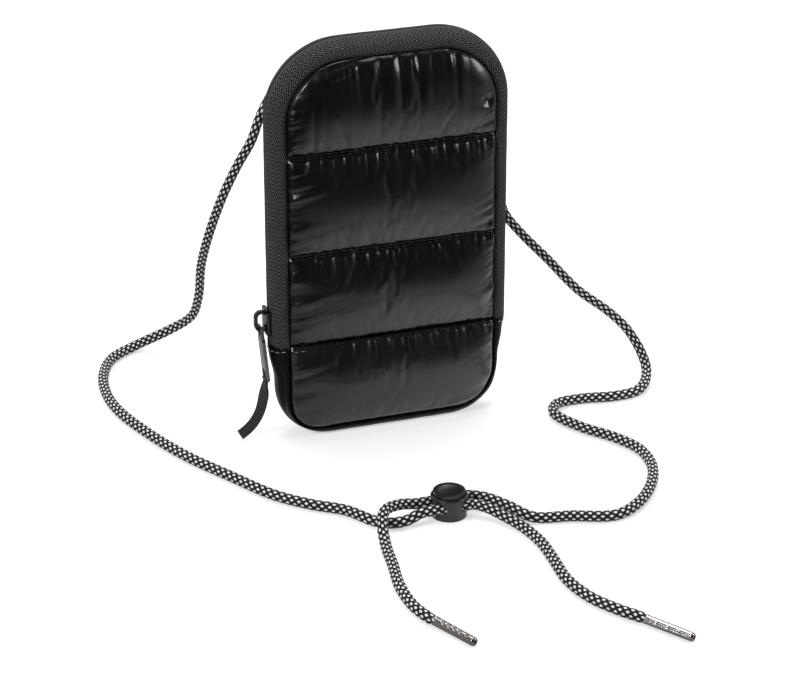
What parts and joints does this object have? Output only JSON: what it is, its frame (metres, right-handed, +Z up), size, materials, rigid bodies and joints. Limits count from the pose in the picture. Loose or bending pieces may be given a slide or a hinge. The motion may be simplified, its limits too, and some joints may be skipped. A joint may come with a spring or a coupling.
{
  "type": "phone pouch",
  "caption": "Quilted zip-up phone pouch standing upright, on a round braided cord with metal tips and a push-button cord lock.",
  "frame": {"origin": "on the floor under the middle of the pouch, halfway between its front and back seams", "axes": "+Z up along the pouch's height, +X to the right seen from the front, -Y out of the quilted front"},
  "size_m": [0.2492, 0.338, 0.1858],
  "materials": {
    "shell_nylon": "glossy",
    "lower_nylon": "satin",
    "padding_fleece": "matte",
    "lining_cloth": "matte",
    "gusset_nylon": "satin",
    "zip_tape": "matte",
    "zip_coil": "satin",
    "slider_metal": "satin",
    "tab_metal": "satin",
    "ribbon_cloth": "matte",
    "loop_webbing": "matte",
    "braid": "matte",
    "aglet_metal": "polished",
    "lock_plastic": "matte",
    "spring_steel": "bright"
  },
  "bodies": {
    "root": {"front_panel_mid": "shell_nylon", "front_padding_mid": "padding_fleece", "front_lower_panel": "lower_nylon", "front_padding_lower": "padding_fleece", "front_lining_lower": "lining_cloth", "back_panel": "shell_nylon", "back_padding": "padding_fleece", "back_lining": "lining_cloth", "bottom_gusset": "gusset_nylon", "zip_tape_front_lower": "zip_tape", "zip_tape_back": "zip_tape", "zip_coil_front_lower": "zip_coil", "zip_coil_back": "zip_coil", "strap_loop_left": "loop_webbing", "strap_loop_right": "loop_webbing", "cord_left": "braid", "cord_right": "braid", "cord_back": "braid", "aglet_left": "aglet_metal", "aglet_right": "aglet_metal"},
    "flap": {"front_panel_top": "shell_nylon", "front_padding_top": "padding_fleece", "front_lining_top": "lining_cloth", "zip_tape_front_upper": "zip_tape", "zip_coil_front_upper": "zip_coil"},
    "slider": {"slider_body": "slider_metal"},
    "tab": {"pull_tab": "tab_metal"},
    "ribbon": {"pull_ribbon": "ribbon_cloth"},
    "lock": {"lock_barrel": "lock_plastic", "lock_spring": "spring_steel"},
    "plunger": {"lock_plunger": "lock_plastic"}
  },
  "joints": [
    {"name": "flap_hinge", "type": "hinge", "parent": "root", "child": "flap", "pos_m": [0, -0.0091, 0.0892], "axis": [1, 0, 0], "range_deg": [0, 65]},
    {"name": "slider_slide", "type": "slide", "parent": "root", "child": "slider", "axis": [0, 0, 1], "range_m": [0, 0.08]},
    {"name": "tab_hinge", "type": "hinge", "parent": "slider", "child": "tab", "pos_m": [-0.0594, 0, 0.0544], "axis": [0, 1, 0], "range_deg": [0, 115]},
    {"name": "ribbon_hinge", "type": "hinge", "parent": "tab", "child": "ribbon", "pos_m": [-0.05726, 0, 0.02854], "axis": [0, 1, 0], "range_deg": [0, 80]},
    {"name": "lock_slide", "type": "slide", "parent": "root", "child": "lock", "axis": [1, 0, 0], "range_m": [-0.004, 0.001]},
    {"name": "plunger_press", "type": "slide", "parent": "lock", "child": "plunger", "axis": [0, 0, -1], "range_m": [0, 0.0014], "stiffness_N_per_m": 1500, "springref_m": -0.001, "deforming": ["lock_spring"]}
  ]
}
